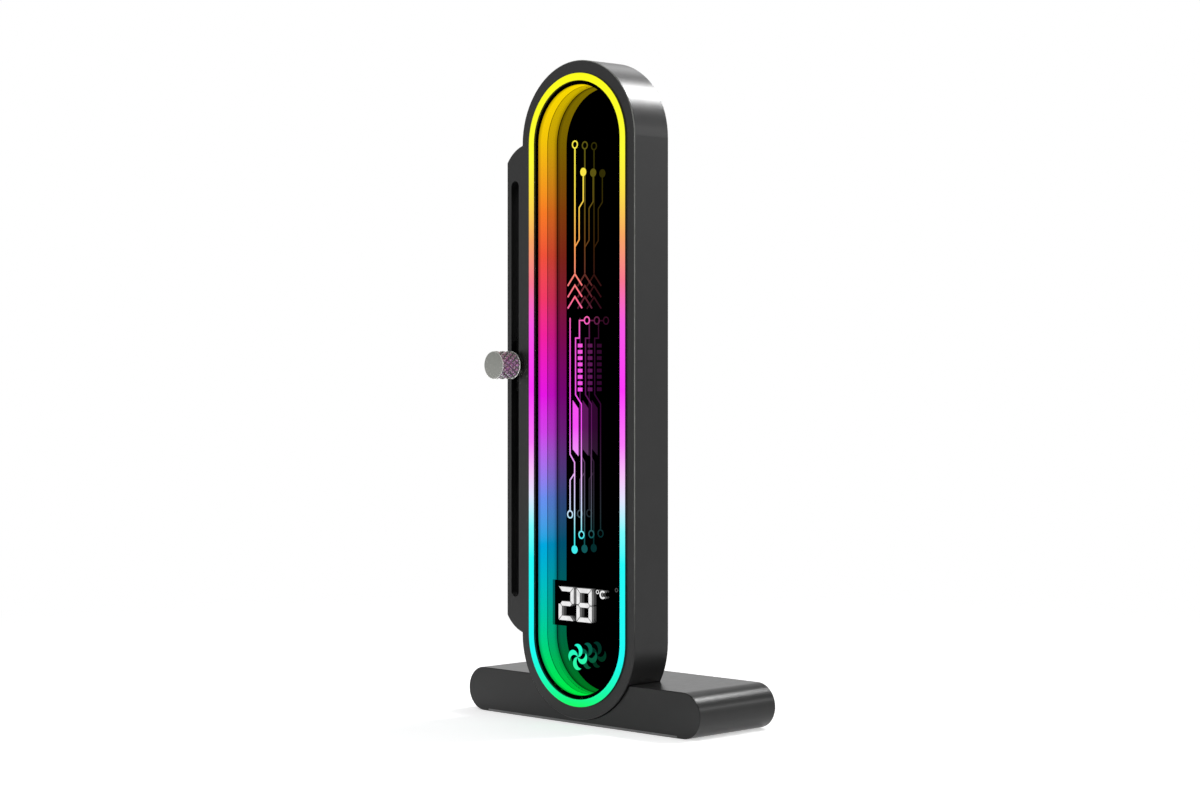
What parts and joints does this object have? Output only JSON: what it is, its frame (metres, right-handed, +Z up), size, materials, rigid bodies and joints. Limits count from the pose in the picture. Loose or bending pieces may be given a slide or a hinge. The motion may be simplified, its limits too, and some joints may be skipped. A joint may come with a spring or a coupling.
{
  "type": "graphics card support bracket",
  "caption": "Desktop column with a lit mirror tunnel on a weighted base, whose clamped side arm holds up a sagging graphics card.",
  "frame": {"origin": "centre of the base's underside, on the surface that it stands on", "axes": "+X to the right along the front, +Y from the front to the back, +Z up the column"},
  "size_m": [0.109, 0.0539, 0.2216],
  "materials": {
    "base_paint": "satin dark grey powder coat",
    "pad_grey": "matte light grey",
    "magnet_steel": "nickel plated",
    "dark_steel": "black oxide",
    "dark_anodised": "satin dark grey anodised",
    "light_guide": "frosted, lit from behind in a rainbow by height",
    "mirror_lens": "half-mirrored clear acrylic",
    "black_film": "black adhesive film",
    "clear_plate": "clear acrylic",
    "light_print": "light-catching print that glows",
    "mirror_back": "mirrored acrylic",
    "black_plastic": "fine matte black",
    "board_green": "solder mask",
    "lamp_white": "lamp resin",
    "socket_metal": "stamped steel shell",
    "soft_pad": "matte silicone",
    "bright_steel": "turned and knurled"
  },
  "bodies": {
    "stand": {"base_block": "base_paint", "base_pad": "pad_grey", "base_magnets": "magnet_steel", "base_screws": "dark_steel", "column_housing": "dark_anodised", "halo_ring": "light_guide", "front_lens": "mirror_lens", "lens_mask": "black_film", "light_wall_front": "light_guide", "pattern_plate": "clear_plate", "circuit_print": "light_print", "light_wall_rear": "light_guide", "mirror_seal": "black_film", "back_mirror": "mirror_back", "mid_tray": "black_plastic", "lighting_strip": "board_green", "led_chips": "lamp_white", "display_module": "black_plastic", "control_board": "board_green", "board_parts": "black_plastic", "temperature_sensor": "black_plastic", "power_socket": "socket_metal", "board_screws": "dark_steel", "rear_cover": "black_plastic", "cover_screws": "dark_steel", "side_rail": "dark_anodised", "rail_screws": "dark_steel"},
    "arm": {"support_arm": "dark_anodised", "arm_pad": "soft_pad"},
    "washer": {"thumbscrew_washer": "bright_steel"},
    "knob": {"thumbscrew": "bright_steel"}
  },
  "joints": [
    {"name": "arm_slide", "type": "slide", "parent": "stand", "child": "arm", "axis": [0, 0, 1], "range_m": [-0.0767, 0.0605]},
    {"name": "screw_backoff", "type": "slide", "parent": "arm", "child": "washer", "axis": [0, -1, 0], "range_m": [0, 0.001]},
    {"name": "thumbscrew_turn", "type": "hinge", "parent": "washer", "child": "knob", "pos_m": [-0.03115, -0.0194, 0.11984], "axis": [0, -1, 0], "range_deg": [0, 720]}
  ],
  "couplings": [
    {"joint": "thumbscrew_turn", "follows": "screw_backoff", "rad_per_m": 12566}
  ]
}
